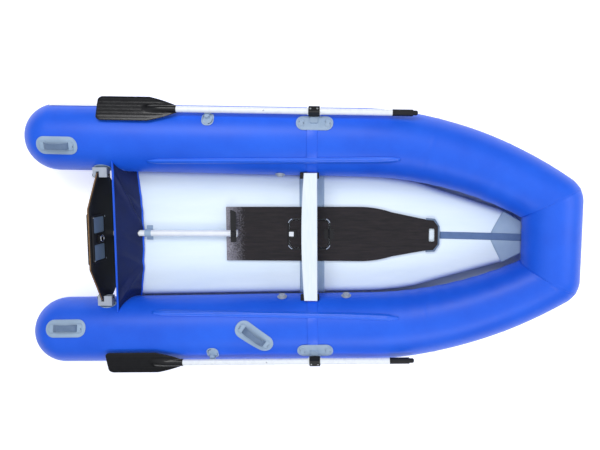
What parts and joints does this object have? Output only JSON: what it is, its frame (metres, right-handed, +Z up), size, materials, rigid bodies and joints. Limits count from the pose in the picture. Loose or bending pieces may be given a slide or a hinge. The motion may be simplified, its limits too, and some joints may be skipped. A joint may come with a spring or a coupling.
{
  "type": "inflatable tender boat",
  "caption": "Inflatable tender with horseshoe air tubes, air floor, plywood transom, floorboard with hatch, thwart, drain valve and stowed oars in turning rowlocks.",
  "frame": {"origin": "middle of the footprint, on the ground plane under the side tubes", "axes": "+X towards the bow, +Y to port, +Z up"},
  "size_m": [3.2159, 1.6428, 0.5299],
  "materials": {
    "tube_blue": "satin",
    "seam_blue": "satin",
    "fabric_grey": "satin",
    "floor_pale": "satin",
    "bottom_grey": "satin",
    "webbing_blue": "satin",
    "webbing_navy": "satin",
    "curtain_blue": "satin",
    "rail_blue": "satin",
    "rubber_slate": "satin",
    "rubber_black": "satin",
    "rubber_grey": "satin",
    "board_black": "satin",
    "ply_black": "satin",
    "thwart_wood": "satin",
    "plastic_black": "satin",
    "plastic_white": "satin",
    "plastic_grey": "satin",
    "plastic_lime": "satin",
    "steel": "satin",
    "label_white": "satin",
    "shaft_white": "satin",
    "blade_black": "satin"
  },
  "bodies": {
    "hull": {"air_valves": "plastic_grey", "bow_strap": "webbing_blue", "drain_pipe": "plastic_white", "floor": "floor_pale", "floor_band": "fabric_grey", "floor_nose_patch": "fabric_grey", "floor_valve": "plastic_black", "floorboard": "board_black", "floorboard_edge": "rubber_slate", "handle_patches": "fabric_grey", "handles": "webbing_navy", "hatch_hinge_board_leaf": "plastic_black", "holder_patches": "fabric_grey", "hull_bottom": "bottom_grey", "keeper_patches": "rubber_grey", "motor_pad_inner": "rubber_black", "motor_pad_outer": "rubber_black", "oar_keepers": "rubber_grey", "pad_screws": "steel", "pipe_strap": "fabric_grey", "rowlock_bases": "rubber_grey", "rowlock_pads": "rubber_grey", "seam_bands": "seam_blue", "seat_rails": "rail_blue", "stern_curtain": "curtain_blue", "stern_label": "label_white", "thwart": "thwart_wood", "thwart_mounts": "rubber_black", "tie_ring": "steel", "transom": "ply_black", "transom_holders": "plastic_grey", "tube_aft_port": "tube_blue", "tube_aft_starboard": "tube_blue", "tube_bow": "tube_blue", "tube_fwd_port": "tube_blue", "tube_fwd_starboard": "tube_blue", "valve_body": "plastic_white"},
    "rowlock_port": {"rowlock_swivel_port": "plastic_black"},
    "rowlock_starboard": {"rowlock_swivel_starboard": "plastic_black"},
    "oar_port": {"oar_shaft_port": "shaft_white", "oar_blade_port": "blade_black", "oar_grip_port": "rubber_black"},
    "oar_starboard": {"oar_shaft_starboard": "shaft_white", "oar_blade_starboard": "blade_black", "oar_grip_starboard": "rubber_black"},
    "snap_port": {"oar_snap_button_port": "steel"},
    "snap_starboard": {"oar_snap_button_starboard": "steel"},
    "pin_port": {"locking_pin_port": "plastic_black"},
    "pin_starboard": {"locking_pin_starboard": "plastic_black"},
    "ring_port": {"pin_ring_port": "plastic_lime"},
    "ring_starboard": {"pin_ring_starboard": "plastic_lime"},
    "hatch": {"hatch_lid": "board_black", "hatch_hinge_lid_leaf": "plastic_black", "hatch_latch": "plastic_black"},
    "hatch_button": {"hatch_button": "plastic_white"},
    "lever": {"valve_lever": "plastic_black", "valve_ball": "plastic_white"},
    "cap_port": {"air_valve_cap_port_aft": "plastic_grey"},
    "cap_starboard": {"air_valve_cap_starboard_aft": "plastic_grey"},
    "cap_bow": {"air_valve_cap_bow": "plastic_grey"}
  },
  "joints": [
    {"name": "oar_yaw_port", "type": "hinge", "parent": "hull", "child": "rowlock_port", "pos_m": [0.136, 0.718, 0.374], "axis": [-0.015, -0.5734, -0.8192], "range_deg": [0, 125]},
    {"name": "oar_feather_port", "type": "hinge", "parent": "rowlock_port", "child": "oar_port", "pos_m": [0.136, 0.718, 0.374], "axis": [-0.9997, 0.0262, 0], "range_deg": [0, 45]},
    {"name": "snap_press_port", "type": "slide", "parent": "oar_port", "child": "snap_port", "axis": [0, 0, -1], "range_m": [0, 0.003], "stiffness_N_per_m": 300},
    {"name": "pin_pull_port", "type": "slide", "parent": "hull", "child": "pin_port", "axis": [-1, 0, 0], "range_m": [0, 0.12]},
    {"name": "ring_swing_port", "type": "hinge", "parent": "pin_port", "child": "ring_port", "pos_m": [-1.1678, 0.367, 0.306], "axis": [0, 1, 0], "range_deg": [0, 90]},
    {"name": "oar_yaw_starboard", "type": "hinge", "parent": "hull", "child": "rowlock_starboard", "pos_m": [0.136, -0.718, 0.374], "axis": [0.015, -0.5734, 0.8192], "range_deg": [0, 125]},
    {"name": "oar_feather_starboard", "type": "hinge", "parent": "rowlock_starboard", "child": "oar_starboard", "pos_m": [0.136, -0.718, 0.374], "axis": [0.9997, 0.0262, 0], "range_deg": [0, 45]},
    {"name": "snap_press_starboard", "type": "slide", "parent": "oar_starboard", "child": "snap_starboard", "axis": [0, 0, -1], "range_m": [0, 0.003], "stiffness_N_per_m": 300},
    {"name": "pin_pull_starboard", "type": "slide", "parent": "hull", "child": "pin_starboard", "axis": [-1, 0, 0], "range_m": [0, 0.12]},
    {"name": "ring_swing_starboard", "type": "hinge", "parent": "pin_starboard", "child": "ring_starboard", "pos_m": [-1.1678, -0.367, 0.306], "axis": [0, 1, 0], "range_deg": [0, 90]},
    {"name": "hatch_open", "type": "hinge", "parent": "hull", "child": "hatch", "pos_m": [0.213, 0, 0.1453], "axis": [0, 1, 0], "range_deg": [0, 35]},
    {"name": "hatch_press", "type": "slide", "parent": "hatch", "child": "hatch_button", "axis": [0, 0, -1], "range_m": [0, 0.0025], "stiffness_N_per_m": 300},
    {"name": "lever_turn", "type": "hinge", "parent": "hull", "child": "lever", "pos_m": [-0.363, 0.005, 0.186], "axis": [0, 0, 1], "range_deg": [0, 90]},
    {"name": "cap_turn_port", "type": "hinge", "parent": "hull", "child": "cap_port", "pos_m": [-0.07008, 0.36571, 0.24838], "axis": [-0.0254, -0.97, 0.2419], "range_deg": [0, 90]},
    {"name": "cap_turn_starboard", "type": "hinge", "parent": "hull", "child": "cap_starboard", "pos_m": [-0.06408, -0.36555, 0.24838], "axis": [-0.0254, 0.97, 0.2419], "range_deg": [0, 90]},
    {"name": "cap_turn_bow", "type": "hinge", "parent": "hull", "child": "cap_bow", "pos_m": [0.31792, -0.35555, 0.24838], "axis": [-0.0254, 0.97, 0.2419], "range_deg": [0, 90]}
  ]
}
